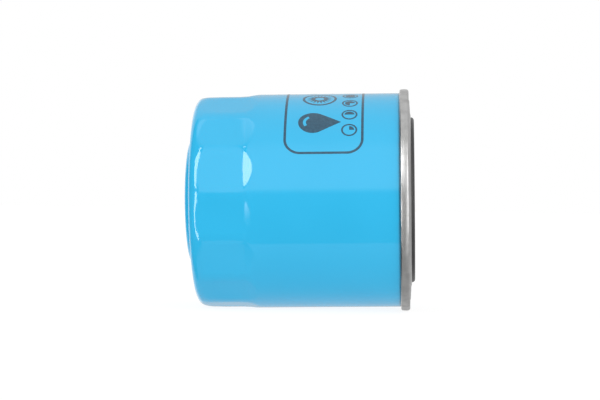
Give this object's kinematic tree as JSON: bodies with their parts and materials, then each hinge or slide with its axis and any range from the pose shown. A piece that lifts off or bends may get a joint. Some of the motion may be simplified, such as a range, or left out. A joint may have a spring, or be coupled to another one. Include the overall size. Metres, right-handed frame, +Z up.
{
  "type": "spin-on oil filter",
  "caption": "Spin-on engine oil filter: enamelled steel can with pressed wrench flats, rolled seam, rubber gasket, tapped base plate, pleated element, anti-drain valve and relief valve.",
  "frame": {"origin": "centre of the threaded hole at the base plate's outer face", "axes": "+X along the filter's axis, out of the engine end; +Z up with the filter lying on its side; the closed end points to -X"},
  "size_m": [0.0842, 0.0828, 0.0829],
  "materials": {
    "can_paint": "gloss enamel over deep-drawn steel",
    "seam_steel": "tin-zinc coated sheet, rolled",
    "plate_steel": "pressed plate, lightly oiled",
    "gasket_rubber": "moulded nitrile, satin",
    "valve_rubber": "moulded nitrile, satin",
    "sealing_compound": "cured bead",
    "cap_steel": "tinplate",
    "tube_steel": "perforated strip",
    "filter_paper": "resin-impregnated",
    "potting": "cured plastisol",
    "spring_steel": "spring temper"
  },
  "bodies": {
    "filter": {"can": "can_paint", "seaming_lid": "seam_steel", "seam_compound": "sealing_compound", "base_plate": "plate_steel", "gasket": "gasket_rubber", "base_end_cap": "cap_steel", "dome_end_cap": "cap_steel", "centre_tube": "tube_steel", "pleated_media": "filter_paper", "media_clip": "cap_steel", "base_potting": "potting", "dome_potting": "potting", "support_spring": "spring_steel", "bypass_housing": "cap_steel", "bypass_spring": "spring_steel"},
    "relief_valve": {"bypass_seal": "valve_rubber", "bypass_disc": "cap_steel", "bypass_washer": "cap_steel", "bypass_stem": "cap_steel"},
    "drain_valve": {"anti_drain_valve": "valve_rubber"}
  },
  "joints": [
    {"name": "relief_lift", "type": "slide", "parent": "filter", "child": "relief_valve", "axis": [1, 0, 0], "range_m": [0, 0.003], "stiffness_N_per_m": 1200, "springref_m": -0.0175, "deforming": ["bypass_spring"]},
    {"name": "drain_lip_lift", "type": "slide", "parent": "filter", "child": "drain_valve", "axis": [-1, 0, 0], "range_m": [0, 0.0012], "stiffness_N_per_m": 400, "springref_m": -0.0005, "deforming": ["anti_drain_valve"]}
  ]
}
